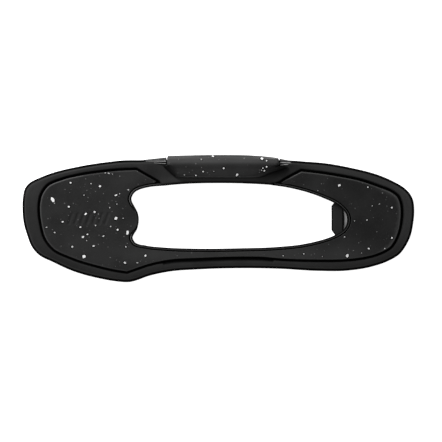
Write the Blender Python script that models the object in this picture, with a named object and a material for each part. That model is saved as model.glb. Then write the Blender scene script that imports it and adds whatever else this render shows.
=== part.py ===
"""Hoop-shaped snowboard stomp pad, built as the separate pieces it is moulded and cut from.

A stiff carrier plate with a lip round the opening carries a soft bumper rim, a C-shaped flecked
rubber deck, a raised flecked grip with a ribbed wing at each end, and a crossbar in the far end of
the opening. Four adhesive pads under the carrier stick it to the board.

Metres, +Z out of the board, +X along the pad, +Y towards the grip. The origin is the centre of the
pad's footprint, on the adhesive face. Lengths are in millimetres until a mesh is made from them.
Run it with: blender --background --python part.py
"""

import math

import bmesh
import bpy
from mathutils import Matrix, Vector

MM = 0.001

# Levels above the board. Pieces that touch keep GAP between them.
GAP = 0.3
ADHESIVE_THICKNESS = 1.0
FLOOR_THICKNESS = 1.8
LIP_HEIGHT = 4.5
DECK_THICKNESS = 2.6
RIM_BOTTOM = 0.6
RIM_THICKNESS = 5.6
SILL_DROP = 2.9

FLOOR_BOTTOM = ADHESIVE_THICKNESS + GAP
FLOOR_TOP = FLOOR_BOTTOM + FLOOR_THICKNESS
LIP_TOP = FLOOR_BOTTOM + LIP_HEIGHT
DECK_BOTTOM = FLOOR_TOP + GAP
DECK_TOP = DECK_BOTTOM + DECK_THICKNESS
RIM_TOP = RIM_BOTTOM + RIM_THICKNESS
GRIP_BOTTOM = RIM_TOP + GAP

# Widths in plan, and the rounding of edges.
GROOVE_WIDTH = 1.1
LIP_WIDTH = 1.4
CARRIER_INSET = 3.0
DECK_ROUND = 0.8
CHAMFER = 0.35
CROSSBAR_ROUND = 0.8
ADHESIVE_ROUND = 2.0
# The rim's shoulder: how far in from its outer edge, and how far below its top.
RIM_SHOULDER = [(0.0, 2.4), (0.5, 1.2), (1.5, 0.4), (3.0, 0.0)]

# Outer edge of the bumper rim, anticlockwise from the middle of the grip side.
RIM_OUTLINE = [
    (0.0, 33.0), (-25.0, 33.1), (-45.0, 32.6), (-53.0, 32.5), (-61.0, 31.7), (-79.0, 28.9),
    (-94.0, 25.2), (-101.6, 22.2), (-105.7, 20.1), (-108.5, 16.9), (-109.7, 12.0), (-110.0, 6.0),
    (-109.2, -3.0), (-107.2, -9.9), (-104.6, -16.2), (-101.2, -20.1), (-92.6, -24.6), (-83.6, -28.8),
    (-65.6, -33.9), (-56.5, -35.4), (-49.8, -35.67), (-46.2, -34.8), (-40.5, -32.7), (-29.5, -30.1),
    (-10.0, -28.5), (11.0, -27.9), (34.0, -28.2), (56.0, -29.4), (72.0, -29.3), (87.5, -26.7),
    (96.0, -23.6), (101.8, -20.0), (105.6, -14.8), (108.0, -9.6), (109.3, -3.5), (110.0, 5.0),
    (109.4, 10.0), (107.6, 13.8), (104.6, 16.9), (99.2, 20.2), (92.0, 23.5), (74.0, 28.4),
    (58.0, 31.1), (50.0, 31.7), (42.5, 32.3), (25.0, 32.8),
]

# Middle of the groove round the deck: the diagonal at the bar's left end, the outer side as far as
# its corner at the lower left and on from there, and the diagonal at the bar's right end.
LEFT_DIAGONAL = [(-33.6, 20.6), (-46.0, 27.7)]
GROOVE_LEFT = [
    (-46.0, 27.7), (-55.4, 27.3), (-66.7, 26.2), (-77.9, 24.5), (-89.2, 21.6), (-95.8, 18.6),
    (-99.5, 13.4), (-100.8, 5.0), (-99.9, -3.1), (-97.3, -12.0), (-92.8, -17.6), (-83.6, -22.2),
    (-66.7, -27.5), (-58.5, -29.4), (-51.3, -30.5),
]
GROOVE_RIGHT = [
    (-51.3, -30.5), (-46.4, -28.8), (-40.0, -26.6), (-28.0, -24.0), (-10.0, -22.9), (12.0, -22.2),
    (24.0, -22.3), (36.0, -23.3), (57.1, -23.9), (68.4, -23.8), (79.6, -22.8), (90.9, -19.9),
    (97.1, -16.4), (101.0, -9.8), (103.0, -1.0), (103.2, 5.0), (101.2, 12.2), (97.0, 15.4),
    (90.9, 17.8), (79.6, 21.6), (68.4, 23.9), (57.1, 25.7), (46.6, 26.9),
]
RIGHT_DIAGONAL = [(46.6, 26.9), (37.2, 21.9), (34.4, 20.1)]

# Edge of the opening, anticlockwise from the right-hand end of the bar. Its left end bulges in
# between two lobes.
BAR_LEFT = -32.0
BAR_RIGHT = 32.4
OPENING = [
    (BAR_RIGHT, 18.6), (17.0, 19.7), (-1.0, 20.0), (-18.0, 19.6), (BAR_LEFT, 18.4), (-42.0, 17.1),
    (-47.2, 14.8), (-49.2, 10.8), (-47.6, 7.0), (-45.7, 3.4), (-45.0, -0.9), (-46.2, -6.5),
    (-48.5, -10.9), (-46.9, -13.8), (-41.5, -15.3), (-29.5, -16.6), (-11.5, -17.2), (11.0, -17.0),
    (33.5, -16.2), (47.0, -14.8), (56.0, -12.9), (62.0, -11.1), (67.0, -8.9), (70.8, -6.2),
    (72.5, -3.2), (72.9, -0.4), (72.2, 2.4), (70.0, 5.2), (66.0, 8.4), (60.5, 11.0),
    (51.5, 14.4), (42.5, 16.8),
]
# Over this stretch of its upper edge the lip drops to the floor, under the bar.
LIP_LOWERED_FROM = -36.5
LIP_LOWERED_TO = 37.2
LIP_LOWERED_HEIGHT = 0.05
# Behind the crossbar the plate's floor runs on to here, and the lip slopes down to it.
SILL_EDGE = 70.2

CROSSBAR = [
    (63.9, 7.0), (63.9, -6.7), (65.8, -9.2), (65.8, -12.8),
    (70.4, -12.8), (70.4, 12.8), (65.8, 12.8), (65.8, 9.2),
]

ADHESIVE_PADS = {
    "adhesive_left": [
        (-55.0, 25.0), (-79.0, 22.0), (-97.0, 15.0), (-100.5, 4.0),
        (-96.0, -12.0), (-80.0, -22.5), (-55.0, -29.0),
    ],
    "adhesive_right": [
        (80.0, 19.0), (80.0, -21.0), (92.0, -18.0), (100.0, -9.0), (103.0, 4.0), (97.0, 13.5),
    ],
    "adhesive_top": [(38.0, 29.0), (-38.0, 29.0), (-38.0, 22.5), (38.0, 22.5)],
    "adhesive_lower": [(46.0, -19.2), (-34.0, -19.2), (-34.0, -24.6), (46.0, -24.6)],
}

# The grip's section from its front edge, over its crown and down the outer side. Each row has the
# y and z of a point on the upper surface, those of the point under it, and the x of four places
# across it: the left foot, the raised part's two ends, and the right foot.
GRIP_SECTION = [
    (22.9, 7.0, 22.9, GRIP_BOTTOM, -23.4, -21.0, 19.2, 23.4),
    (23.05, 9.4, 23.0, GRIP_BOTTOM, -23.9, -21.2, 20.0, 24.2),
    (23.6, 10.1, 23.5, GRIP_BOTTOM, -24.9, -21.6, 21.6, 26.0),
    (26.2, 10.75, 26.2, GRIP_BOTTOM, -27.9, -22.9, 26.1, 32.0),
    (28.6, 11.05, 28.6, GRIP_BOTTOM, -30.4, -25.0, 30.0, 39.4),
    (29.0, 11.1, 29.0, GRIP_BOTTOM, -30.8, -25.6, 31.0, 34.4),
    (29.6, 11.1, 29.6, GRIP_BOTTOM, -31.0, -27.0, 32.6, 34.3),
    (29.95, 11.1, 29.95, GRIP_BOTTOM, -29.2, -28.4, 33.8, 34.2),
    (31.4, 10.75, 31.2, GRIP_BOTTOM, -28.8, -28.5, 33.9, 34.2),
    (33.2, 9.5, 32.5, GRIP_BOTTOM, -28.8, -28.5, 33.8, 34.1),
    (34.7, 7.8, 33.5, GRIP_BOTTOM, -28.8, -28.5, 33.5, 33.8),
    (35.5, 6.0, 33.6, 5.2, -28.8, -28.5, 33.3, 33.6),
    (35.75, 4.2, 33.6, 3.8, -28.8, -28.5, 33.1, 33.4),
    (35.6, 2.4, 33.6, 2.4, -28.8, -28.5, 33.1, 33.4),
]
GRIP_SPANS = 10
GRIP_FOOT_SHARE = 0.12
GRIP_THINNEST = 0.35
# The outer side bows outwards in the middle: it falls back by these amounts at the two ends.
GRIP_BOW_CENTRE = 3.0
GRIP_BOW_LEFT = 0.5
GRIP_BOW_RIGHT = 1.8
GRIP_BOW_FROM = 31.0

# A wing's section at its root: how far out from the wing's inner edge, and how far above its lower
# face. Two ribs run its length, and it tapers to its tip.
WING_SECTION = [
    (0.0, 0.0), (0.0, 2.6), (0.5, 3.1), (1.6, 2.9), (1.8, 2.1),
    (2.2, 2.4), (3.5, 1.7), (4.3, 0.6), (4.1, 0.0),
]
WING_BOTTOM = 4.3
WING_TIP_SHARE = 0.35
WING_SPANS = 5
WING_POCKET_DEPTH = 6.0
WINGS = {
    "grip_wing_left": {"root": (-29.6, 30.1), "tip": (-42.0, 31.5)},
    "grip_wing_right": {"root": (34.9, 29.4), "tip": (43.6, 30.4)},
}

# Sampling of curves, and the turns at which a corner counts as sharp.
SPACING = 3.4
SHARP_TURN = math.radians(45)
BLUNT_SHARE = 0.35
SMOOTH_BELOW = math.radians(40)

BLACK_PLASTIC = {"colour": (0.012, 0.012, 0.013, 1.0), "roughness": 0.5}
BLACK_RUBBER = {"colour": (0.020, 0.020, 0.022, 1.0), "roughness": 0.65}
FLECKED_RUBBER = {"colour": (0.022, 0.022, 0.023, 1.0), "roughness": 0.6}
RIBBED_RUBBER = {"colour": (0.060, 0.060, 0.062, 1.0), "roughness": 0.4}
ADHESIVE_TAPE = {"colour": (0.500, 0.500, 0.480, 1.0), "roughness": 0.8}
FINISHES = {
    "carrier_plate": BLACK_PLASTIC,
    "bumper_rim": BLACK_RUBBER,
    "speckled_deck": FLECKED_RUBBER,
    "grip_saddle": FLECKED_RUBBER,
    "grip_wing_left": RIBBED_RUBBER,
    "grip_wing_right": RIBBED_RUBBER,
    "end_crossbar": BLACK_PLASTIC,
    "adhesive_left": ADHESIVE_TAPE,
    "adhesive_right": ADHESIVE_TAPE,
    "adhesive_top": ADHESIVE_TAPE,
    "adhesive_lower": ADHESIVE_TAPE,
}

# Which way a wall's inset goes: from the outside of a piece inwards, or from a hole outwards.
FROM_OUTSIDE = -1
FROM_HOLE = 1


# Curves in plan


def tangents(points, closed):
    """The direction of a smooth curve at each point, weighted by how near its neighbours are."""
    found = []
    last = len(points) - 1
    for i, point in enumerate(points):
        if not closed and i == 0:
            found.append((points[1] - point).normalized())
        elif not closed and i == last:
            found.append((point - points[i - 1]).normalized())
        else:
            back = point - points[i - 1]
            ahead = points[(i + 1) % len(points)] - point
            slope = back * (ahead.length / back.length) + ahead * (back.length / ahead.length)
            found.append(slope / (back.length + ahead.length))
    return found


def curve(points, closed=True):
    """Samples of a smooth curve through the points, without the end point of an open one."""
    points = [Vector(p) for p in points]
    slopes = tangents(points, closed)
    samples = []
    for i in range(len(points) if closed else len(points) - 1):
        after = (i + 1) % len(points)
        reach = (points[after] - points[i]).length
        steps = max(2, round(reach / SPACING))
        for k in range(steps):
            t = k / steps
            samples.append(
                points[i] * (2 * t**3 - 3 * t**2 + 1)
                + slopes[i] * (reach * (t**3 - 2 * t**2 + t))
                + points[after] * (3 * t**2 - 2 * t**3)
                + slopes[after] * (reach * (t**3 - t**2))
            )
    return samples


def cross(a, b):
    return a.x * b.y - a.y * b.x


def rounded_polygon(corners, radius, steps=3):
    """A polygon whose corners are arcs of this radius."""
    corners = [Vector(c) for c in corners]
    loop = []
    for i, corner in enumerate(corners):
        to_last = (corners[i - 1] - corner).normalized()
        to_next = (corners[(i + 1) % len(corners)] - corner).normalized()
        half = to_last.angle(to_next) / 2
        centre = corner + (to_last + to_next).normalized() * (radius / math.sin(half))
        arm = corner + to_last * (radius / math.tan(half)) - centre
        turn = math.copysign(math.pi - 2 * half, cross(-to_last, to_next))
        loop += [centre + Matrix.Rotation(turn * k / steps, 2) @ arm for k in range(steps + 1)]
    return loop


def shifted(loop, distance, closed=True):
    """The line moved sideways by this distance: outwards if it runs anticlockwise."""
    moved = []
    last = len(loop) - 1
    for i, point in enumerate(loop):
        arriving = point - loop[i - 1] if closed or i > 0 else loop[1] - point
        leaving = loop[(i + 1) % len(loop)] - point if closed or i < last else arriving
        a = arriving.normalized()
        b = leaving.normalized()
        side = Vector((a.y + b.y, -a.x - b.x))
        moved.append(point + side * (distance / max(side.length_squared / 2, 0.6)))
    return moved


def blunted(loop):
    """The loop with each sharp corner cut off, and left as it is elsewhere."""
    found = []
    for i, point in enumerate(loop):
        before = loop[i - 1] - point
        after = loop[(i + 1) % len(loop)] - point
        if math.pi - before.angle(after) > SHARP_TURN:
            found += [point + before * BLUNT_SHARE, point + after * BLUNT_SHARE]
        else:
            found.append(point)
    return found


def groove_line():
    """The middle of the groove from the bar's left end round the outside to its right end."""
    runs = (LEFT_DIAGONAL, GROOVE_LEFT, GROOVE_RIGHT, RIGHT_DIAGONAL)
    return [point for run in runs for point in curve(run, False)] + [Vector(RIGHT_DIAGONAL[-1])]


def under_bar(point):
    return point.y > 0 and LIP_LOWERED_FROM < point.x < LIP_LOWERED_TO


# Meshes


def new_object(name, bm):
    """A named object in the scene from a mesh in millimetres, smooth where its faces meet at a low angle."""
    bmesh.ops.recalc_face_normals(bm, faces=bm.faces)
    bmesh.ops.scale(bm, vec=(MM, MM, MM), verts=bm.verts)
    mesh = bpy.data.meshes.new(name)
    bm.to_mesh(mesh)
    bm.free()
    mesh.shade_smooth()
    mesh.set_sharp_from_angle(angle=SMOOTH_BELOW)
    obj = bpy.data.objects.new(name, mesh)
    bpy.context.scene.collection.objects.link(obj)
    return obj


def wall(loop, profile, side=FROM_OUTSIDE):
    """The rings of a wall that follows the loop, from pairs of an inset into the material and a level.

    A level is a height, or a function that gives the height at a point.
    """
    rings = []
    for inset, level in profile:
        height = level if callable(level) else lambda point, fixed=level: fixed
        rings.append([(p.x, p.y, height(p)) for p in shifted(loop, side * inset)])
    return rings


def bridge(bm, lower, upper):
    for i, vert in enumerate(lower):
        after = (i + 1) % len(lower)
        bm.faces.new((vert, lower[after], upper[after], upper[i]))


def slab(name, walls):
    """A solid with flat faces between the first rings of its walls, and between their last rings."""
    bm = bmesh.new()
    walls = [[[bm.verts.new(p) for p in ring] for ring in rings] for rings in walls]
    for rings in walls:
        for lower, upper in zip(rings, rings[1:]):
            bridge(bm, lower, upper)
    for end in (0, -1):
        rims = [rings[end] for rings in walls]
        edges = [bm.edges.get((rim[i - 1], rim[i])) for rim in rims for i in range(len(rim))]
        bmesh.ops.triangle_fill(bm, use_beauty=True, use_dissolve=False, edges=edges)
    return new_object(name, bm)


def cut(obj, name, loop, bottom, top):
    """Removes the prism over the loop from obj."""
    cutter = slab(name, [wall(loop, [(0, bottom), (0, top)])])
    cutter.hide_render = True
    cutter.display_type = "WIRE"
    modifier = obj.modifiers.new(name, "BOOLEAN")
    modifier.operation = "DIFFERENCE"
    modifier.solver = "EXACT"
    modifier.object = cutter


# Pieces


def lip_level(height):
    """The lip's height at a point: it drops to the floor under the rim's bar."""
    return lambda point: FLOOR_TOP + LIP_LOWERED_HEIGHT if under_bar(point) else height


def make_carrier_plate():
    """The floor of the pad with its lip round the opening, notched for the crossbar's ends."""
    outside = wall(shifted(curve(RIM_OUTLINE), -CARRIER_INSET), [(0, FLOOR_BOTTOM), (0, FLOOR_TOP)])
    opening = curve(OPENING)
    sill = [Vector((min(p.x, SILL_EDGE), p.y)) for p in opening]
    inside = wall(sill, [(0, FLOOR_BOTTOM), (0, LIP_TOP - CHAMFER - SILL_DROP)], FROM_HOLE)
    inside += wall(
        opening,
        [
            (0, lip_level(LIP_TOP - CHAMFER)),
            (CHAMFER, lip_level(LIP_TOP)),
            (LIP_WIDTH - CHAMFER, lip_level(LIP_TOP)),
            (LIP_WIDTH, lip_level(LIP_TOP - CHAMFER)),
            (LIP_WIDTH, FLOOR_TOP),
        ],
        FROM_HOLE,
    )
    plate = slab("carrier_plate", [outside, inside])
    cut(plate, "crossbar_notch", shifted(crossbar_loop(), GAP), 0.0, DECK_BOTTOM)


def make_bumper_rim():
    """The soft rim round the plate, with the plain bar that runs along the grip side of the opening."""
    skirt = CARRIER_INSET - GAP
    foot = [(skirt, DECK_BOTTOM), (skirt, RIM_BOTTOM), (CHAMFER, RIM_BOTTOM), (0, RIM_BOTTOM + CHAMFER)]
    outside = wall(curve(RIM_OUTLINE), foot + [(inset, RIM_TOP - drop) for inset, drop in RIM_SHOULDER])
    bar_edge = [p for p in curve(OPENING) if p.y > 0 and BAR_LEFT <= p.x <= BAR_RIGHT]
    loop = blunted(shifted(groove_line(), GROOVE_WIDTH / 2, closed=False) + bar_edge)
    inside = wall(loop, [(0, DECK_BOTTOM), (0, RIM_TOP - CHAMFER), (CHAMFER, RIM_TOP)], FROM_HOLE)
    rim = slab("bumper_rim", [outside, inside])
    for name, wing in WINGS.items():
        along, out = wing_axes(wing)
        root = Vector(wing["root"]) - (along + out) * GAP
        tip = Vector(wing["tip"]) + (along - out) * GAP
        pocket = [root, tip, tip + out * WING_POCKET_DEPTH, root + out * WING_POCKET_DEPTH]
        cut(rim, name + "_pocket", pocket, WING_BOTTOM - GAP, RIM_TOP + GAP)


def make_speckled_deck():
    """The flecked panel in the rim: one C-shaped piece whose two ends are cut off slantwise at the bar."""
    outer_side = shifted(groove_line(), -GROOVE_WIDTH / 2, closed=False)
    opening_side = shifted([p for p in curve(OPENING) if not under_bar(p)], LIP_WIDTH + GAP, closed=False)
    profile = [
        (0, DECK_BOTTOM),
        (0, DECK_TOP - DECK_ROUND),
        (0.3 * DECK_ROUND, DECK_TOP - 0.3 * DECK_ROUND),
        (DECK_ROUND, DECK_TOP),
    ]
    slab("speckled_deck", [wall(blunted(outer_side + opening_side[::-1]), profile)])


def crossbar_loop():
    return rounded_polygon(CROSSBAR, CROSSBAR_ROUND, steps=2)


def make_crossbar():
    """The plain bar across the end of the opening, whose two ends sit in notches in the plate."""
    profile = [(0, FLOOR_BOTTOM), (0, FLOOR_TOP - CHAMFER), (CHAMFER, FLOOR_TOP)]
    slab("end_crossbar", [wall(crossbar_loop(), profile)])


def make_adhesive_pads():
    for name, corners in ADHESIVE_PADS.items():
        slab(name, [wall(rounded_polygon(corners, ADHESIVE_ROUND), [(0, 0.0), (0, ADHESIVE_THICKNESS)])])


def grip_bow(x):
    """How far the grip's outer side falls back at this x."""
    reach = (x - GRIP_BOW_CENTRE) / GRIP_BOW_FROM
    return GRIP_BOW_RIGHT * reach**3 if reach > 0 else GRIP_BOW_LEFT * reach**2


def grip_points(row):
    """One row across the grip: its points on the upper surface and those under them."""
    y, z, under_y, under_z, foot_left, left, right, foot_right = row
    raised = [left + (right - left) * k / GRIP_SPANS for k in range(GRIP_SPANS + 1)]
    upper = []
    lower = []
    for x in (foot_left, *raised, foot_right):
        below = Vector((x, under_y, under_z))
        above = Vector((0, y - under_y, z - under_z))
        share = GRIP_FOOT_SHARE if x in (foot_left, foot_right) else 1.0
        length = max(above.length * share - (grip_bow(x) if y > under_y + 1 else 0), GRIP_THINNEST)
        upper.append(below + above.normalized() * length)
        lower.append(below)
    return upper, lower


def make_grip_saddle():
    """The raised grip: a crowned block on the bar that rolls over the pad's edge, with sloping ends."""
    bm = bmesh.new()
    rows = [grip_points(row) for row in GRIP_SECTION]
    upper = [[bm.verts.new(p) for p in row[0]] for row in rows]
    lower = [[bm.verts.new(p) for p in row[1]] for row in rows]
    strips = [*zip(upper, upper[1:]), *zip(lower, lower[1:])]
    strips += [(upper[0], lower[0]), (upper[-1], lower[-1])]
    strips += [([r[k] for r in upper], [r[k] for r in lower]) for k in (0, -1)]
    for near, far in strips:
        for k in range(len(near) - 1):
            bm.faces.new((near[k], near[k + 1], far[k + 1], far[k]))
    new_object("grip_saddle", bm)


def wing_axes(wing):
    """The directions along a wing, from root to tip, and across it out of the pad."""
    along = (Vector(wing["tip"]) - Vector(wing["root"])).normalized()
    out = Vector((-along.y, along.x))
    return along, out if out.y > 0 else -out


def make_grip_wing(name, wing):
    """A ribbed wedge let into the rim's shoulder beside the grip."""
    bm = bmesh.new()
    out = wing_axes(wing)[1]
    stations = []
    for k in range(WING_SPANS + 1):
        share = k / WING_SPANS
        size = 1 - share * (1 - WING_TIP_SHARE)
        base = Vector(wing["root"]).lerp(Vector(wing["tip"]), share)
        section = [(base + out * (across * size), WING_BOTTOM + up * size) for across, up in WING_SECTION]
        stations.append([bm.verts.new((p.x, p.y, height)) for p, height in section])
    for near, far in zip(stations, stations[1:]):
        bridge(bm, near, far)
    bm.faces.new(stations[0])
    bm.faces.new(stations[-1])
    new_object(name, bm)


def add_materials():
    for name, finish in FINISHES.items():
        material = bpy.data.materials.new(name)
        material.use_nodes = True
        shader = material.node_tree.nodes["Principled BSDF"]
        shader.inputs["Base Color"].default_value = finish["colour"]
        shader.inputs["Roughness"].default_value = finish["roughness"]
        shader.inputs["Metallic"].default_value = 0.0
        bpy.data.objects[name].data.materials.append(material)


for old in list(bpy.data.objects):
    bpy.data.objects.remove(old)

make_carrier_plate()
make_bumper_rim()
make_speckled_deck()
make_crossbar()
make_adhesive_pads()
make_grip_saddle()
for wing_name, wing_ends in WINGS.items():
    make_grip_wing(wing_name, wing_ends)
add_materials()
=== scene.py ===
import math
import random

import bmesh
import bpy
import numpy as np
from mathutils import Matrix, Vector, noise
from mathutils.bvhtree import BVHTree
from mathutils.geometry import delaunay_2d_cdt


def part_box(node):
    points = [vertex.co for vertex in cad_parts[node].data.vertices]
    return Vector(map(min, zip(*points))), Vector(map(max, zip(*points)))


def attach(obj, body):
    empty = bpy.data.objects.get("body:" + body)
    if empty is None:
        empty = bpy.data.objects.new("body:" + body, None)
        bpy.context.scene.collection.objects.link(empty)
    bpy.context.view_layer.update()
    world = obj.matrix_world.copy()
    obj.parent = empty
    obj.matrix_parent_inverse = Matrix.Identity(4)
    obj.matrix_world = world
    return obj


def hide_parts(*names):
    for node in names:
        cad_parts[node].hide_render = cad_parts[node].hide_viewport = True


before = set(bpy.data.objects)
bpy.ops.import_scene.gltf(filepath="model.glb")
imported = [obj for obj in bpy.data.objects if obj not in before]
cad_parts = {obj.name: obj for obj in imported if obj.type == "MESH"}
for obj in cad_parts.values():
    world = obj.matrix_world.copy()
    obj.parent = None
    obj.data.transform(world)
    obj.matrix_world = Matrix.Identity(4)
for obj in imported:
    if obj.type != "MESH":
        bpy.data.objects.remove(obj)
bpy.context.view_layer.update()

# The looks of the snowboard stomp pad. Each CAD node but the adhesive ones is replaced by a finely made
# piece of the same outline, read from the node's own edges. Lengths are in millimetres until a mesh is
# made from them. A tint is a vertex's share of paleness, mostly painted highlight and painted light, up
# to 1, or of painted shade, down to -1.

MM = 0.001


def box(node):
    """A CAD node's lowest and highest corners, in millimetres."""
    low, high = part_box(node)
    return low / MM, high / MM


# Levels and widths, from the frame.
RIM_LOW, RIM_HIGH = box("bumper_rim")
DECK_LOW, DECK_HIGH = box("speckled_deck")
PLATE_LOW, PLATE_HIGH = box("carrier_plate")
BAR_LOW, BAR_HIGH = box("end_crossbar")
FLOOR_BOTTOM = PLATE_LOW.z
FLOOR_TOP = BAR_HIGH.z
GAP = DECK_LOW.z - FLOOR_TOP
PLATE_INSET = RIM_HIGH.x - PLATE_HIGH.x

# How far below a CAD solid's top the line lies that is read from it.
CHAMFER = 0.35
SHOULDER_DROP = 2.4
DECK_ROUND = 0.8
# Points this near a level are on it.
LEVEL_SLACK = 0.01

LIP_WIDTH = 1.4
# The part of a wall below its top that can be rounded more or less, and lifted.
TOP_DEPTH = 1.7
# Distance between the samples of a smooth line.
SPACING = 0.8
# A point is a corner if the line turns this much there, and less than half as much within this reach.
CORNER_TURN = math.radians(20)
CORNER_REACH = 8.0
# A run this many times longer than its neighbour stays straight.
STRAIGHT_RATIO = 3.0
# A shifted line keeps at least this share of its distance from the first one.
SHIFT_KEPT = 0.96
# At a corner a shift is divided by at least this, so that a sharp one doesn't run far out.
SHIFT_STRETCH = 0.6
# The triangulation's output type, which is inside the faces only, and how close it joins points.
INSIDE_ONLY = 1
JOIN_SLACK = 1e-5
# Where the small chips' random draws start.
SEED = 11


# Lines in plan


def chains(node, level):
    """The lines of edges at this height on a CAD node, longest first."""
    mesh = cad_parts[node].data
    place = {}
    for vert in mesh.vertices:
        if abs(vert.co.z / MM - level) < LEVEL_SLACK:
            place[vert.index] = (round(vert.co.x / MM, 3), round(vert.co.y / MM, 3))
    links = {}
    for edge in mesh.edges:
        a, b = (place.get(i) for i in edge.vertices)
        if a and b and a != b:
            links.setdefault(a, set()).add(b)
            links.setdefault(b, set()).add(a)
    found = []
    while links:
        here = min(links, key=lambda p: (len(links[p]), p))
        line = []
        while here is not None:
            line.append(Vector(here))
            ahead = sorted(p for p in links.pop(here) if p in links)
            here = ahead[0] if ahead else None
        found.append(line)
    return sorted(found, key=lambda line: -sum((a - b).length for a, b in zip(line, line[1:])))


def anticlockwise(loop):
    """The closed line, turned round if it runs clockwise."""
    area = sum(a.x * b.y - a.y * b.x for a, b in zip(loop, loop[1:] + loop[:1]))
    return loop if area > 0 else loop[::-1]


def corners(points):
    """Which points of the closed line are sharp corners: it turns there, and hardly at all close by."""
    count = len(points)
    turns = [(p - points[i - 1]).angle(points[(i + 1) % count] - p) for i, p in enumerate(points)]
    found = []
    for i, turn in enumerate(turns):
        beside = []
        for k in (-2, -1, 1, 2):
            other = (i + k) % count
            near = (points[other] - points[i]).length < CORNER_REACH
            beside.append(turns[other] if near else 0.0)
        found.append(turn > CORNER_TURN and sum(sorted(beside)[:3]) < turn * 0.5)
    return found


def smooth(points, spacing=SPACING):
    """Samples of a smooth closed curve through the points, its sharp corners and long straight runs kept."""
    count = len(points)
    sharp = corners(points)
    arriving = []
    leaving = []
    for i, point in enumerate(points):
        back = point - points[i - 1]
        ahead = points[(i + 1) % count] - point
        if sharp[i]:
            slopes = (back.normalized(), ahead.normalized())
        elif max(back.length, ahead.length) > STRAIGHT_RATIO * min(back.length, ahead.length):
            slopes = (max(back, ahead, key=lambda v: v.length).normalized(),) * 2
        else:
            slope = back * (ahead.length / back.length) + ahead * (back.length / ahead.length)
            slopes = (slope / (back.length + ahead.length),) * 2
        arriving.append(slopes[0])
        leaving.append(slopes[1])
    samples = []
    for i in range(count):
        after = (i + 1) % count
        reach = (points[after] - points[i]).length
        steps = max(1, round(reach / spacing))
        for k in range(steps):
            t = k / steps
            samples.append(
                points[i] * (2 * t**3 - 3 * t**2 + 1)
                + leaving[i] * (reach * (t**3 - 2 * t**2 + t))
                + points[after] * (3 * t**2 - 2 * t**3)
                + arriving[after] * (reach * (t**3 - t**2))
            )
    return samples


def gaps(points, loop):
    """How far each point is from the closed line."""
    starts = np.array([tuple(p) for p in loop])
    runs = np.roll(starts, -1, axis=0) - starts
    away = np.array([tuple(p) for p in points])[:, None] - starts
    share = (away * runs).sum(2) / np.maximum((runs**2).sum(1), 1e-9)
    return np.linalg.norm(away - runs * np.clip(share, 0, 1)[..., None], axis=2).min(1)


def shifted(loop, distance):
    """The closed line moved sideways, outwards if it runs anticlockwise, without crossing itself."""
    if not distance:
        return list(loop)
    moved = []
    for i, point in enumerate(loop):
        a = (point - loop[i - 1]).normalized()
        b = (loop[(i + 1) % len(loop)] - point).normalized()
        side = Vector((a.y + b.y, -a.x - b.x))
        moved.append(point + side * (distance / max(side.length_squared / 2, SHIFT_STRETCH)))
    count = len(loop)
    good = gaps(moved, loop) > abs(distance) * SHIFT_KEPT
    for i in range(count):
        if not good[i]:
            step = next(k for k in range(1, count) if good[(i + k) % count] or good[i - k])
            moved[i] = moved[(i + step) % count if good[(i + step) % count] else i - step]
    return moved


# Meshes


def new_mesh():
    """An empty mesh, in millimetres, whose vertices have a tint and a chip's tone."""
    bm = bmesh.new()
    bm.verts.layers.float.new("tint")
    bm.verts.layers.float.new("tone")
    return bm


def add_ring(bm, points, tints=0.0):
    """Vertices at the points, with one tint for all or a list with one for each."""
    layer = bm.verts.layers.float["tint"]
    ring = [bm.verts.new(p) for p in points]
    for vert, tint in zip(ring, tints if isinstance(tints, list) else [tints] * len(ring)):
        vert[layer] = tint
    return ring


def bridge(bm, rings):
    """Faces between each closed ring and the next."""
    for near, far in zip(rings, rings[1:]):
        for i in range(len(near)):
            after = (i + 1) % len(near)
            bm.faces.new((near[i], near[after], far[after], far[i]))


def add_wall(bm, loop, profile, side=-1, vary=None, height=None):
    """Rings along the loop, from (inset, level, tint) rows. side is -1 for an outer wall, 1 for a hole's.

    vary(point) scales the rounding at the wall's top, and height(x, y) lifts it.
    """
    top = profile[-1][1]
    shares = [vary(p) if vary else 1.0 for p in loop]
    rings = []
    for inset, level, tint in profile:
        points = []
        tints = []
        for point, moved, share in zip(loop, shifted(loop, side * inset), shares):
            spot = point.lerp(moved, share)
            near_top = top - level < TOP_DEPTH
            rise = height(spot.x, spot.y) if height and near_top else 0.0
            points.append((spot.x, spot.y, (top - (top - level) * share if near_top else level) + rise))
            tints.append(tint * share if tint > 0 else tint)
        rings.append(add_ring(bm, points, tints))
    bridge(bm, rings)
    return rings


# Rows of a grid of even triangles lie this share of its spacing apart, and its points keep this share clear
# of the rims.
ROW_SHARE = 0.866
RIM_CLEARANCE = 0.6


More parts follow.
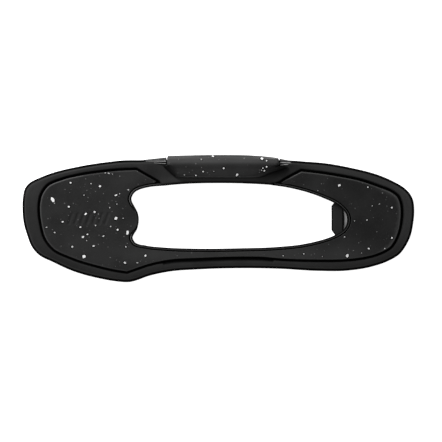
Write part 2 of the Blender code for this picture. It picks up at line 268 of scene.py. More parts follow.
def fill(bm, rims, spacing, height=None, fine=None, tint=None):
    """Triangles inside the first rim and outside the others, over a grid of points.

    height(x, y) and tint(x, y) give each point's rise and tint, and fine is the (low corner, high corner,
    spacing) of a stretch with a grid of its own.
    """
    loops = [[v.co.to_2d() for v in rim] for rim in rims]
    level = rims[0][0].co.z
    ends = np.array([(tuple(a), tuple(b)) for loop in loops for a, b in zip(loop, loop[1:] + loop[:1])])

    def inside(points):
        a, b = ends[:, 0], ends[:, 1]
        x, y = points[:, :1], points[:, 1:]
        spans = (a[:, 1] > y) != (b[:, 1] > y)
        rise = np.where(b[:, 1] == a[:, 1], 1, b[:, 1] - a[:, 1])
        crossing = a[:, 0] + (y - a[:, 1]) * (b[:, 0] - a[:, 0]) / rise
        return (spans & (x < crossing)).sum(1) % 2 == 1

    def grid(low, high, pitch):
        rows = np.arange(low[1], high[1], pitch * ROW_SHARE)
        columns = np.arange(low[0], high[0], pitch)
        points = np.array([(x + pitch / 2 * (j % 2), y) for j, y in enumerate(rows) for x in columns])
        points = points[inside(points)]
        away = [np.hypot(*(ends[:, 0] - p).T).min() for p in points]
        return points[np.array(away) > pitch * RIM_CLEARANCE]

    points = grid(ends.min((0, 1)), ends.max((0, 1)), spacing)
    if fine:
        fine_low, fine_high, pitch = fine
        apart = ((points < np.array(fine_low)) | (points > np.array(fine_high))).any(1)
        points = np.vstack([points[apart], grid(fine_low, fine_high, pitch)])
    verts = [v for rim in rims for v in rim]
    faces = []
    for loop in loops:
        start = sum(len(face) for face in faces)
        faces.append(list(range(start, start + len(loop))))
    flat = [v.co.to_2d() for v in verts] + [Vector(p) for p in points]
    places, _, triangles, origins, _, loops_over = delaunay_2d_cdt(flat, [], faces, INSIDE_ONLY, JOIN_SLACK)
    used = []
    for place, origin in zip(places, origins):
        on_rim = [i for i in origin if i < len(verts)]
        if on_rim:
            used.append(verts[on_rim[0]])
        else:
            lift = height(*place) if height else 0.0
            used += add_ring(bm, [(*place, level + lift)], tint(*place) if tint else 0.0)
    for triangle, over in zip(triangles, loops_over):
        trio = [used[i] for i in triangle]
        if over == [0] and len(set(trio)) == 3:
            bm.faces.new(trio)


# Vertices of a piece this close together are one.
MERGE = 0.002


def add_piece(name, bm, material, slot, *nodes, sharp=35):
    """A piece from the mesh, which stands for the CAD nodes. Folds over sharp degrees stay sharp."""
    bmesh.ops.remove_doubles(bm, verts=bm.verts, dist=MERGE)
    bmesh.ops.dissolve_degenerate(bm, edges=bm.edges, dist=MERGE)
    bmesh.ops.recalc_face_normals(bm, faces=bm.faces)
    bmesh.ops.scale(bm, vec=(MM, MM, MM), verts=bm.verts)
    mesh = bpy.data.meshes.new(name)
    bm.to_mesh(mesh)
    bm.free()
    mesh.shade_smooth()
    mesh.set_sharp_from_angle(angle=math.radians(sharp))
    piece = bpy.data.objects.new(name, mesh)
    bpy.context.scene.collection.objects.link(piece)
    mesh.materials.append(material)
    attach(piece, "root")
    if nodes:
        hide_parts(*nodes)
    return piece


# Materials. Noise scales are per metre.

BUMP_STRENGTH = 0.5
# The colour of full painted shade, and how much painted highlights are smoother and painted shade rougher.
SHADE = 0.0008
HIGHLIGHT_SMOOTHER = 0.15
SHADE_ROUGHER = 0.25


class Nodes:
    """A material's node tree, with one call for each node."""

    def __init__(self, name, roughness, specular):
        self.material = bpy.data.materials.new(name)
        self.material.use_nodes = True
        self.tree = self.material.node_tree
        self.shader = self.tree.nodes["Principled BSDF"]
        self.shader.inputs["Roughness"].default_value = roughness
        self.shader.inputs["Specular IOR Level"].default_value = specular
        self.place = self.add("ShaderNodeTexCoord").outputs["Object"]

    def add(self, kind, settings=None, **inputs):
        node = self.tree.nodes.new(kind)
        for key, value in (settings or {}).items():
            setattr(node, key, value)
        for key, value in inputs.items():
            self.set(node.inputs[key.replace("_", " ")], value)
        return node

    def set(self, socket, value):
        if isinstance(value, bpy.types.NodeSocket):
            self.tree.links.new(value, socket)
        else:
            socket.default_value = value

    def noise(self, scale, detail=2.0):
        return self.add("ShaderNodeTexNoise", Vector=self.place, Scale=scale, Detail=detail).outputs["Fac"]

    def attribute(self, name):
        return self.add("ShaderNodeAttribute", {"attribute_name": name}).outputs["Fac"]

    def math(self, operation, a, b=0.0):
        node = self.add("ShaderNodeMath", {"operation": operation})
        self.set(node.inputs[0], a)
        self.set(node.inputs[1], b)
        return node.outputs[0]

    def remap(self, value, low, high, to_low=0.0, to_high=1.0):
        node = self.add("ShaderNodeMapRange", Value=value)
        for key, number in zip(("From Min", "From Max", "To Min", "To Max"), (low, high, to_low, to_high)):
            node.inputs[key].default_value = number
        return node.outputs["Result"]

    def mix(self, factor, a, b):
        node = self.add("ShaderNodeMix", {"data_type": "RGBA"})
        self.set(node.inputs["Factor"], factor)
        self.set(node.inputs[6], a)
        self.set(node.inputs[7], b)
        return node.outputs[2]

    def finish(self, colour, roughness=None, height=None, distance=0.00005):
        """The material, with these on its shader. The bump's distance is in metres."""
        self.set(self.shader.inputs["Base Color"], colour)
        if roughness is not None:
            self.set(self.shader.inputs["Roughness"], roughness)
        if height is not None:
            bump = self.add("ShaderNodeBump", Height=height, Distance=distance, Strength=BUMP_STRENGTH)
            self.set(self.shader.inputs["Normal"], bump.outputs["Normal"])
        return self.material


def grey(value):
    """A neutral colour."""
    return (value, value, value, 1.0)


def shaded(n, colour, highlight_grey, rough):
    """The colour and roughness with painted highlights and painted shade, from the vertices' tints."""
    tint = n.attribute("tint")
    # Above 0 the tint mixes in the painted highlight grey; below 0 crease mixes in the colour of painted
    # shade.
    colour = n.mix(n.remap(tint, 0.0, 1.0), colour, grey(highlight_grey))
    crease = n.remap(tint, 0.0, -1.0)
    colour = n.mix(crease, colour, grey(SHADE))
    rough = n.math("SUBTRACT", rough, n.remap(tint, 0.0, 1.0, 0.0, HIGHLIGHT_SMOOTHER))
    return colour, n.math("ADD", rough, n.math("MULTIPLY", crease, SHADE_ROUGHER))


def rubber(name, dark, light, highlight_grey, specular, flecks=0.0, fleck_tones=(0.04, 0.14), fleck_scale=420.0):
    """Black moulded rubber: cloudy colour, a fine grain, painted highlights and painted shade, and optional
    small grey flecks.

    flecks is the share of the Voronoi cells that hold one.
    """
    n = Nodes(name, 0.6, specular)
    clouds = n.remap(n.noise(60.0, 4.0), 0.35, 0.65)
    colour = n.mix(clouds, grey(dark), grey(light))
    grain = n.noise(2600.0, 3.0)
    colour = n.mix(n.remap(grain, 0.55, 0.75, 0.0, 0.5), colour, grey(light * 1.6))
    if flecks:
        cells = n.add("ShaderNodeTexVoronoi", Vector=n.place, Scale=fleck_scale)
        size = n.remap(n.noise(900.0, 0.0), 0.4, 0.7, 0.04, 0.17)
        near = n.math("LESS_THAN", cells.outputs["Distance"], size)
        chosen = n.add("ShaderNodeSeparateColor", Color=cells.outputs["Color"])
        near = n.math("MULTIPLY", near, n.math("GREATER_THAN", chosen.outputs["Red"], 1 - flecks))
        shade = n.mix(chosen.outputs["Green"], grey(fleck_tones[0]), grey(fleck_tones[1]))
        colour = n.mix(near, colour, shade)
    colour, rough = shaded(n, colour, highlight_grey, n.remap(clouds, 0.0, 1.0, 0.55, 0.68))
    return n.finish(colour, rough, grain)


def plastic(name, dark, light, highlight_grey, specular, roughness):
    """Black moulded plastic with a fine spark-eroded texture."""
    n = Nodes(name, roughness, specular)
    clouds = n.remap(n.noise(90.0, 3.0), 0.3, 0.7)
    grain = n.noise(4200.0, 2.0)
    colour = n.mix(clouds, grey(dark), grey(light))
    colour, rough = shaded(n, colour, highlight_grey, n.remap(clouds, 0.0, 1.0, roughness, roughness + 0.08))
    return n.finish(colour, rough, grain, distance=0.00002)


def chip_material():
    """Chips of pale rubber: their own tone, with a mottled surface."""
    n = Nodes("pale_chips", 0.7, 0.03)
    tone = n.attribute("tone")
    mottle = n.remap(n.noise(1500.0, 3.0), 0.3, 0.7, 0.8, 1.0)
    shade = n.mix(n.math("MULTIPLY", tone, mottle), grey(0.002), grey(0.9))
    return n.finish(shade, None, n.noise(3000.0))


def adhesive_material():
    """Pale double-sided tape: a close-grained film with a faint weave of fibres."""
    n = Nodes("adhesive_tape", 0.75, 0.3)
    weave = n.add("ShaderNodeTexWave", Vector=n.place, Scale=260.0, Distortion=3.0, Detail=2.0)
    weave = weave.outputs["Fac"]
    clouds = n.noise(150.0, 3.0)
    colour = n.mix(n.math("MULTIPLY", weave, clouds), (0.55, 0.54, 0.50, 1.0), (0.72, 0.71, 0.67, 1.0))
    return n.finish(colour, n.remap(clouds, 0.3, 0.7, 0.65, 0.85), weave, distance=0.00003)


# Each material's third grey is the one that painted highlights and painted light mix towards.
RIM_RUBBER = rubber("rim_rubber", 0.019, 0.026, 0.048, 0.05)
DECK_RUBBER = rubber("flecked_rubber", 0.0135, 0.0235, 0.07, 0.1, flecks=0.45)
WING_RUBBER = rubber("wing_rubber", 0.012, 0.05, 0.5, 0.1, 0.5, (0.1, 0.7), 700.0)
CARRIER_PLASTIC = plastic("carrier_plastic", 0.016, 0.021, 0.22, 0.08, 0.5)
BAR_PLASTIC = plastic("crossbar_plastic", 0.019, 0.025, 0.05, 0.08, 0.55)
CHIPS = chip_material()
ADHESIVE = adhesive_material()


# The lines that the pieces share

# Free edges are rolled out by this much over the CAD solids' own.
ROLL = 0.15
# Distance between the samples of the crossbar's outline, which is small.
BAR_SPACING = 0.5
# Where the opening's upper edge is the bar's: between these heights, and this far to each side.
BAR_LEVEL = (18.0, 20.3)
BAR_REACH = 31.0


def at_bar(point):
    """Whether a point is on the rim's bar, beside the opening."""
    return abs(point.x) < BAR_REACH and point.y < BAR_LEVEL[1]


def outline(node, level, spacing=SPACING):
    """A CAD node's longest line at this height, made smooth."""
    return smooth(anticlockwise(chains(node, level)[0]), spacing)


RIM_OUTSIDE = shifted(outline("bumper_rim", RIM_HIGH.z - SHOULDER_DROP), ROLL)
RIM_INSIDE = outline("bumper_rim", RIM_HIGH.z - CHAMFER)
RIM_INSIDE = [Vector((p.x, p.y - ROLL)) if at_bar(p) else p for p in RIM_INSIDE]
DECK_OUTSIDE = outline("speckled_deck", DECK_HIGH.z - DECK_ROUND)
BAR_OUTSIDE = shifted(outline("end_crossbar", BAR_HIGH.z - CHAMFER, BAR_SPACING), ROLL)


def opening_line():
    """The edge of the opening: the lip's inner edge, closed by the edge of the rim's bar."""
    longest = chains("carrier_plate", PLATE_HIGH.z - CHAMFER)[:2]
    lip = min(longest, key=lambda line: sum(p.length for p in line))
    if lip[0].x < lip[-1].x:
        lip = lip[::-1]
    rim = chains("bumper_rim", RIM_HIGH.z - CHAMFER)[0]
    bar = [p for p in rim if BAR_LEVEL[0] < p.y < BAR_LEVEL[1] and abs(p.x) < BAR_REACH]
    return anticlockwise(lip + sorted(bar, key=lambda p: p.x))


OPENING = shifted(smooth(opening_line()), -ROLL)


# Pieces


def fade(value, start, width):
    """0 up to the start, rising evenly to 1 over the width."""
    return max(0.0, min(1.0, (value - start) / width))


def hump(value, middle, half_width):
    """1 at the middle, falling off smoothly to either side."""
    return math.exp(-(((value - middle) / half_width) ** 2))


# Roundings as (inset, drop from the top, tint): the rim's shoulder, and its fall into the groove. The
# shoulder's outer edge is painted dark and its top a little paler, painted shade and a painted highlight,
# and the fall into the groove is painted shade.
RIM_SHOULDER = [(0.0, 1.2, -1.0), (1.15, 0.36, -1.0), (1.3, 0.28, -0.4), (1.45, 0.22, 0.3), (1.8, 0.1, 0.4)]
RIM_SHOULDER += [(2.2, 0.0, 0.0)]
GROOVE_ROUND = [(0.0, 0.6, -1.0), (0.15, 0.36, -0.9), (0.3, 0.2, -0.4), (0.6, 0.06, -0.1), (1.0, 0.0, 0.0)]

# The rim is painted paler along the bar, painted light where the grip's shadow falls: the middle of the
# pale stretch, its half length and half width.
BAR_MIDDLE = (0.0, 21.2)
BAR_SIZE = (30.0, 2.4)
BAR_PAINTED_LIGHT = 0.7
# It is painted paler towards the far end on the grip's side, painted light, from these x and y on.
FAR_PAINTED_LIGHT = 0.5
FAR_PAINTED_LIGHT_FROM = (40.0, -18.0)
FAR_PAINTED_LIGHT_FADE = (20.0, 16.0)
# Soft patches of painted shade and painted light make it darker or paler, the shade beside the grip's
# ends among them: x, y, half length, half width, turn in degrees, tint.
RIM_PATCHES = [
    (-38.0, 26.0, 7.0, 6.0, 0, -0.3), (34.5, 26.6, 7.5, 2.0, 20, -0.75),
    (-86.0, -25.0, 24.0, 7.0, -25, -0.3), (-103.0, 18.0, 9.0, 7.0, 50, 0.25),
]


def rim_tint(x, y):
    """How pale or dark the rim's upper face is painted at a point: painted light and painted shade."""
    along_bar = math.exp(-(((x - BAR_MIDDLE[0]) / BAR_SIZE[0]) ** 4))
    bar = along_bar * hump(y, BAR_MIDDLE[1], BAR_SIZE[1])
    far = fade(x, FAR_PAINTED_LIGHT_FROM[0], FAR_PAINTED_LIGHT_FADE[0]) * fade(y, FAR_PAINTED_LIGHT_FROM[1], FAR_PAINTED_LIGHT_FADE[1])
    total = BAR_PAINTED_LIGHT * bar + FAR_PAINTED_LIGHT * far
    for middle_x, middle_y, length, width, turn, tint in RIM_PATCHES:
        away = Matrix.Rotation(math.radians(-turn), 2) @ Vector((x - middle_x, y - middle_y))
        total += tint * hump(away.x, 0.0, length) * hump(away.y, 0.0, width)
    return total


# Along the bar the edge is rounded this many times as much, and its painted shade reaches further in. At the
# pad's far end the shoulder is painted paler, a painted highlight, from the x below on.
EDGE_SHARE = 1.6
EDGE_SHADES = (-1.0, -1.0, -0.4)
END_HIGHLIGHT = (0.5, 0.6, 0.3)
END_HIGHLIGHT_FROM = 96.0
END_HIGHLIGHT_FADE = 8.0
# The rim's foot is rounded in two steps, as insets and rises. Its outer side is upright up to FOOT_TOP.
FOOT_INSETS = (0.5, 0.1)
FOOT_RISES = (0.15, 0.5)
FOOT_TOP = 2.2
RIM_GRID = 1.4
# Spacing of the grids on faces that are out of sight.
HIDDEN_GRID = 6.0
HIDDEN_GRID_WIDE = 8.0


def make_rim():
    """The soft rim: a rolled shoulder outside, and a rounded fall into the groove."""
    bm = new_mesh()
    skirt = PLATE_INSET - GAP
    foot = [(skirt, DECK_LOW.z, -1), (skirt, RIM_LOW.z, 0), (FOOT_INSETS[0], RIM_LOW.z, 0)]
    foot += [(FOOT_INSETS[1], RIM_LOW.z + FOOT_RISES[0], 0), (0, RIM_LOW.z + FOOT_RISES[1], 0)]
    foot += [(0, RIM_LOW.z + FOOT_TOP, 0)]
    shoulder = [(inset, RIM_HIGH.z - drop, tint) for inset, drop, tint in RIM_SHOULDER]
    outside = add_wall(bm, RIM_OUTSIDE, foot + shoulder)
    inner = [(0, DECK_LOW.z, -1)]
    inner += [(inset, RIM_HIGH.z - drop, tint) for inset, drop, tint in GROOVE_ROUND]
    inside = add_wall(bm, RIM_INSIDE, inner, side=1, vary=lambda p: EDGE_SHARE if at_bar(p) else 1.0)
    tint = bm.verts.layers.float["tint"]
    for ring, more in zip(outside[-3:], END_HIGHLIGHT):
        for vert in ring:
            vert[tint] += more * fade(vert.co.x, END_HIGHLIGHT_FROM, END_HIGHLIGHT_FADE)
    for ring, shade in zip(inside[2:], EDGE_SHADES):
        for vert, point in zip(ring, RIM_INSIDE):
            vert[tint] = shade if at_bar(point) else vert[tint]
    fill(bm, [outside[0], inside[0]], HIDDEN_GRID)
    for vert in outside[-1] + inside[-1]:
        vert[tint] += rim_tint(vert.co.x, vert.co.y)
    fill(bm, [outside[-1], inside[-1]], RIM_GRID, tint=rim_tint)
    add_piece("rim_shell", bm, RIM_RUBBER, "rim_rubber", "bumper_rim")


# The deck's section at its edge, as (inset, drop from its top, tint) rows above its foot. Its wall is
# painted shade down into the groove, and its rounding carries a painted highlight.
DECK_EDGE = [(0, 1.6, -1), (0.0, 0.8, -0.8), (0.08, 0.45, -0.3), (0.2, 0.24, 0.7), (0.42, 0.08, 0.9)]
DECK_EDGE += [(0.65, 0.0, 0.3), (1.1, 0.0, 0.0)]
# The deck's edge counts as beside the lip where it is this near the opening, and it covers the lip by this
# much at the opening's bulging end. That end lies beyond END_X, and the bulge's middle is at BULGE_Y.
OPENING_SIDE = 3.4
BULGE_COVER = 1.35
END_X = -40.0
BULGE_Y = -1.0
# The bulge dips by this much, over this half width, from DIP_FROM on.
DIP = 1.1
DIP_HALF = 5.5
DIP_FROM = -57.0
DIP_FADE = 11.0
# The deck's upper face is uneven by this much, with this many waves in a millimetre.
UNEVEN = 0.03
UNEVEN_SCALE = 0.07
# The deck's edge carries its painted highlight further in at the far end, and a weaker one between these x
# on the grip side.
FAR_END_TINTS = (0.8, 0.35)
FAR_END_FROM = 88.0
FAR_END_FADE = 8.0
PLAIN_EDGE = (-76.0, -36.0)
PLAIN_EDGE_SHARE = 0.35
# Beside the lip the deck's edge is rounded by this share of what it is elsewhere. The share grows from
# TIGHT_FROM away from the opening on.
TIGHT_SHARE = 0.3
TIGHT_FROM = 2.0
TIGHT_FADE = 4.0
DECK_GRID = 1.5
MARK_GRID = 0.4

# Slanted grooves in the deck: the foot of each, from the left, and how far its other end is from that. Each
# reaches MARK_REACH to its sides. All are between two corners, MARK_LOW and MARK_HIGH.
MARK_FEET = [Vector((-84.0 + 3.4 * k, -2.9)) for k in range(7)]
MARK_RUN = Vector((1.9, 5.4))
MARK_REACH = 1.0
MARK_DEPTH = 0.25
MARK_LOW = (-85.5, -4.4)
MARK_HIGH = (-60.5, 4.2)

# A paler band along the deck's lower side: its middle height, its half width and its two ends.
BAND_Y = -20.5
BAND_HALF = 6.0
BAND_ENDS = (-64.0, 88.0)
BAND_FADE = 16.0
BAND_TINT = 0.26


def deck_height(x, y):
    """Height of the deck's upper face over its flat level."""
    dip = DIP * fade(x, DIP_FROM, DIP_FADE) ** 2 * hump(y, BULGE_Y, DIP_HALF)
    rise = -dip if x < END_X else 0.0
    rise += UNEVEN * noise.noise(Vector((x * UNEVEN_SCALE, y * UNEVEN_SCALE, 2.0)))
    if MARK_LOW[0] < x < MARK_HIGH[0] and MARK_LOW[1] < y < MARK_HIGH[1]:
        for foot in MARK_FEET:
            away = Vector((x, y)) - foot
            share = fade(away.dot(MARK_RUN), 0.0, MARK_RUN.length_squared)
            rise -= MARK_DEPTH * max(0.0, 1 - ((away - MARK_RUN * share).length / MARK_REACH) ** 2)
    return rise


def deck_tint(x, y):
    """How much paler the deck is at a point: most along its lower side."""
    along = fade(min(x - BAND_ENDS[0], BAND_ENDS[1] - x), 0.0, BAND_FADE)
    return BAND_TINT * along * hump(y, BAND_Y, BAND_HALF)


# The bulge ends this far to each side of its middle, fading over this width.
BULGE_SIDE = 8.4
BULGE_FADE = 6.0


def bulge_share(y):
    """1 at the middle of the opening's bulging end, falling to 0 beside it."""
    return fade(BULGE_SIDE - abs(y - BULGE_Y), 0.0, BULGE_FADE)


def deck_line():
    """The deck's edge, brought forward over the lip at the bulge."""
    line = []
    for p, gap in zip(DECK_OUTSIDE, gaps(DECK_OUTSIDE, OPENING)):
        forward = BULGE_COVER * bulge_share(p.y) if p.x < END_X and gap < OPENING_SIDE else 0.0
        line.append(Vector((p.x + forward, p.y)))
    return line


def make_deck():
    """The flecked deck: a rounded edge along the groove, a tight one along the lip, and slanted grooves."""
    bm = new_mesh()
    line = deck_line()
    away = {tuple(p): gap for p, gap in zip(line, gaps(line, OPENING))}
    profile = [(0, DECK_LOW.z, -1)]
    profile += [(inset, DECK_HIGH.z - drop, tint) for inset, drop, tint in DECK_EDGE]

    def roundness(point):
        return TIGHT_SHARE + (1 - TIGHT_SHARE) * fade(away[tuple(point)], TIGHT_FROM, TIGHT_FADE)

    rings = add_wall(bm, line, profile, vary=roundness, height=deck_height)
    tint = bm.verts.layers.float["tint"]
    for vert in rings[-1] + rings[-2]:
        vert[tint] += deck_tint(vert.co.x, vert.co.y)
    for ring, more in zip(rings[-2:], FAR_END_TINTS):
        for vert in ring:
            vert[tint] += more * fade(vert.co.x, FAR_END_FROM, FAR_END_FADE)
    for ring in rings[-4:-1]:
        for vert in ring:
            if PLAIN_EDGE[0] < vert.co.x < PLAIN_EDGE[1] and vert.co.y > 0:
                vert[tint] *= PLAIN_EDGE_SHARE
    fill(bm, [rings[0]], HIDDEN_GRID_WIDE)
    fill(bm, [rings[-1]], DECK_GRID, deck_height, (MARK_LOW, MARK_HIGH, MARK_GRID), deck_tint)
    return add_piece("deck_panel", bm, DECK_RUBBER, "flecked_rubber", "speckled_deck")


# The opening's wall, as (share of the way from the crossbar back to the opening's edge, level, tint) rows,
# and the lip's section as (distance from the opening, drop from its top, tint). The ramp carries a painted
# highlight and a line of painted shade where it meets the lip; the lip is painted shade at both its edges
# and a little paler on top.
RAMP = [(0.0, 1.3, -1.0), (0.0, 2.4, -1.0), (0.12, 2.65, -0.6), (0.25, 2.9, 0.3), (0.5, 3.4, 0.9)]
RAMP += [(0.85, 4.2, 1.0), (0.93, 4.2, -0.6), (1.0, 4.1, -1.0)]
LIP = [(0.0, 0.55, -1.0), (0.6, 0.1, -1.0), (0.75, 0.03, -0.3), (0.85, 0.0, 0.14), (1.0, 0.0, 0.16)]
LIP += [(1.15, 0.08, 0.0), (1.25, 0.2, -0.5), (1.4, 0.5, -1.0)]
# The ramp's painted highlight lies between these y, fading in and out over these lengths, and never falls
# below the least share given below.
RAMP_HIGHLIGHT_FROM = -7.2
RAMP_HIGHLIGHT_TO = 7.5
RAMP_HIGHLIGHT_FADES = (6.0, 4.0)
RAMP_HIGHLIGHT_LEAST = 0.05
# Where the lip faces the far end its painted highlight is stronger by up to this many times.
FACING_HIGHLIGHT_GAIN = 2.3
# Out of sight the lip is this far above the floor. It is where the bulge's share is over BULGE_LEAST.
SUNK_LIP = 0.05
BULGE_LEAST = 0.05
FLOOR_GRID = 4.0
# The ramp starts this far behind the crossbar.
RAMP_GAP = 0.05
# The crossbar's place in the carrier is cut out this much larger.
NOTCH_CLEARANCE = 0.02


def ramp_highlight(y):
    """How strong the ramp's painted highlight is along its length: most at its middle and upper part."""
    return max(RAMP_HIGHLIGHT_LEAST, min(1.0, (y - RAMP_HIGHLIGHT_FROM) / RAMP_HIGHLIGHT_FADES[0], (RAMP_HIGHLIGHT_TO - y) / RAMP_HIGHLIGHT_FADES[1]))


def ramp_rings(bm):
    """The opening's wall, which leans back to a ramp behind the crossbar."""
    foot = BAR_HIGH.x + RAMP_GAP
    behind = [p.x > foot for p in OPENING]
    rings = []
    for share, level, tint in RAMP:
        points = []
        tints = []
        for p, on_ramp in zip(OPENING, behind):
            points.append((p.x + (foot - p.x) * (1 - share) if on_ramp else p.x, p.y, level))
            tints.append(tint * ramp_highlight(p.y) if tint > 0 and on_ramp else min(tint, 0.0))
        rings.append(add_ring(bm, points, tints))
    return rings


def lip_rings(bm):
    """The lip's section round the opening, kept down under the rim's bar and the deck's bulge."""
    rings = []
    for inset, drop, tint in LIP:
        points = []
        tints = []
        for edge, p in zip(OPENING, shifted(OPENING, inset)):
            under_bar = edge.y > 0 and abs(edge.x) < BAR_REACH
            at_end = edge.x < END_X
            level = PLATE_HIGH.z - drop
            if under_bar or (at_end and bulge_share(edge.y) > BULGE_LEAST):
                level = FLOOR_TOP + SUNK_LIP
            points.append((p.x, p.y, level))
            facing = max(0.0, (edge - p).normalized().x) if inset and at_end else 0.0
            tints.append(tint * (1 + FACING_HIGHLIGHT_GAIN * facing**2) if tint > 0 else tint)
        rings.append(add_ring(bm, points, tints))
    return rings


def cut_notch(piece):
    """Cuts the crossbar's place out of the carrier."""
    bm = new_mesh()
    wall = add_wall(bm, shifted(BAR_OUTSIDE, NOTCH_CLEARANCE), [(0, 0.0, 0), (0, DECK_LOW.z, 0)])
    fill(bm, [wall[0]], HIDDEN_GRID)
    fill(bm, [wall[1]], HIDDEN_GRID)
    bmesh.ops.recalc_face_normals(bm, faces=bm.faces)
    bmesh.ops.scale(bm, vec=(MM, MM, MM), verts=bm.verts)
    mesh = bpy.data.meshes.new("bar_notch")
    bm.to_mesh(mesh)
    bm.free()
    cutter = bpy.data.objects.new("bar_notch", mesh)
    bpy.context.scene.collection.objects.link(cutter)
    notch = piece.modifiers.new("bar_notch", "BOOLEAN")
    notch.operation = "DIFFERENCE"
    notch.object = cutter
    bpy.context.view_layer.update()
    graph = bpy.context.evaluated_depsgraph_get()
    cut = bpy.data.meshes.new_from_object(piece.evaluated_get(graph))
    piece.modifiers.clear()
    piece.data = cut
    bpy.data.objects.remove(cutter)


def make_carrier():
    """The carrier: a floor, the lip round the opening, and the ramp behind the crossbar."""
    bm = new_mesh()
    outside = add_wall(bm, shifted(RIM_OUTSIDE, -PLATE_INSET), [(0, FLOOR_BOTTOM, 0), (0, FLOOR_TOP, -1)])
    rings = ramp_rings(bm) + lip_rings(bm)
    # The lip's outer foot is painted shade, in the gap beside the deck.
    rings.append(add_ring(bm, [(p.x, p.y, FLOOR_TOP) for p in shifted(OPENING, LIP_WIDTH)], -1.0))
    bridge(bm, rings)
    fill(bm, [outside[0], rings[0]], HIDDEN_GRID_WIDE)
    # The floor is painted all shade, at the bottom of the groove and the lip's gap.
    fill(bm, [outside[1], rings[-1]], FLOOR_GRID, tint=lambda x, y: -1.0)
    piece = add_piece("carrier_shell", bm, CARRIER_PLASTIC, "carrier_plastic", "carrier_plate")
    cut_notch(piece)


# The crossbar's section as (inset, drop from its top, tint) rows above its foot, which BAR_FOOT rounds.
# Its outer edge is painted dark, painted shade.
BAR_FOOT = 0.2
BAR_EDGE = [(0, 0.5, -1), (0.35, 0.2, -1), (0.6, 0.07, -1), (0.75, 0.02, 0), (0.88, 0.0, 0)]
BAR_GRIDS = (3.0, 1.2)


def make_crossbar():
    """The plain bar across the end of the opening, with rounded edges."""
    bm = new_mesh()
    profile = [(BAR_FOOT, BAR_LOW.z, 0), (0, BAR_LOW.z + BAR_FOOT, 0)]
    profile += [(inset, BAR_HIGH.z - drop, tint) for inset, drop, tint in BAR_EDGE]
    rings = add_wall(bm, BAR_OUTSIDE, profile)
    fill(bm, [rings[0]], BAR_GRIDS[0])
    fill(bm, [rings[-1]], BAR_GRIDS[1])
    add_piece("end_bar", bm, BAR_PLASTIC, "crossbar_plastic", "end_crossbar")


# A CAD mesh's vertices this close together are one, and its triangles are paired up to these angles.
CAD_MERGE = 0.01
PAIR_FOLD = math.radians(25)
PAIR_SHAPE = math.radians(60)


def copy_cad(node):
    """A node's mesh in millimetres with its split vertices joined and its triangles paired."""
    bm = new_mesh()
    bm.from_mesh(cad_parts[node].data)
    bmesh.ops.scale(bm, vec=(1 / MM,) * 3, verts=bm.verts)
    bmesh.ops.remove_doubles(bm, verts=bm.verts, dist=CAD_MERGE)
    pairing = {"angle_face_threshold": PAIR_FOLD, "angle_shape_threshold": PAIR_SHAPE}
    bmesh.ops.join_triangles(bm, faces=bm.faces, **pairing)
    return bm


def crease(bm, rules):
    """Gives each edge the crease of the steepest rule that its fold passes, as (degrees, crease) pairs."""
    layer = bm.edges.layers.float.new("crease_edge")
    for edge in bm.edges:
        if len(edge.link_faces) == 2:
            fold = math.degrees(edge.calc_face_angle())
            edge[layer] = max([value for limit, value in rules if fold > limit], default=0.0)


# The grip's creases, as (degrees of fold, crease) rules, and how often its faces are halved.
GRIP_CREASES = ((20, 0.35), (35, 0.7), (55, 0.9))
GRIP_LEVELS = 3
# It is painted all shade along its outer foot, from GRIP_EDGE_FROM on, carries a painted highlight on the
# outer side of its crown, and is a little paler on its inner half, where that is this far above the rim.
# Its inner foot is painted shade.
GRIP_EDGE_FROM = 35.4
GRIP_CROWN_FROM = 30.5
GRIP_CROWN_HIGHLIGHT = 0.35
GRIP_PALE_TO = 27.0
GRIP_PALE_OVER = 2.0
GRIP_PALE = 0.1
GRIP_FOOT_LEVEL = 7.4
GRIP_FOOT_SHADE = -0.9


def grip_tint(place):
    """How pale or dark the grip is painted at a vertex: painted shade, a painted highlight, and a paler
    inner half.
    """
    if place.z < GRIP_FOOT_LEVEL and place.y < GRIP_CROWN_FROM:
        return GRIP_FOOT_SHADE
    if place.y > GRIP_EDGE_FROM:
        return -1.0
    if place.y > GRIP_CROWN_FROM:
        return GRIP_CROWN_HIGHLIGHT
    return GRIP_PALE if place.y < GRIP_PALE_TO and place.z > RIM_HIGH.z + GRIP_PALE_OVER else 0.0


def make_grip():
    """The raised grip, its folds kept and its faces rounded over."""
    bm = copy_cad("grip_saddle")
    crease(bm, GRIP_CREASES)
    tint = bm.verts.layers.float["tint"]
    for vert in bm.verts:
        vert[tint] = grip_tint(vert.co)
    piece = add_piece("grip_block", bm, DECK_RUBBER, "flecked_rubber", "grip_saddle")
    rounder = piece.modifiers.new("round", "SUBSURF")
    rounder.levels = GRIP_LEVELS
    rounder.render_levels = GRIP_LEVELS
    return piece


# A wing's section at its root, from its inner edge outwards: distance, drop from its top, tint. The first
# rib is between the distances INNER_RIB. The ribs' tops carry painted highlights and the wing's feet
# painted shade.
WING_SECTION = [
    (0.0, 3.1, -1.0), (0.02, 1.2, -1.0), (0.12, 0.4, -0.3), (0.3, 0.1, 0.7), (0.5, 0.0, 1.0),
    (0.7, 0.1, 0.6), (0.9, 0.5, -0.8), (1.15, 0.7, -1.0), (1.4, 0.5, -0.8), (1.6, 0.14, 0.6),
    (1.8, 0.05, 1.0), (2.0, 0.14, 0.7), (2.3, 0.4, 0.0), (3.0, 0.75, 0.0), (3.7, 1.25, 0.1),
    (4.2, 2.2, -1.0), (4.25, 3.1, -1.0),
]
WING_DEPTH = 3.1
INNER_RIB = (0.05, 1.1)
# The first rib sinks by RIB_SUNK beyond this share of the wing's length, over RIB_FADE, and is then darker.
RIB_END = 0.6
RIB_FADE = 0.1
RIB_SUNK = 0.9
SUNK_TINT = -0.15
WING_STATIONS = 16
WING_TIP_SHARE = 0.35
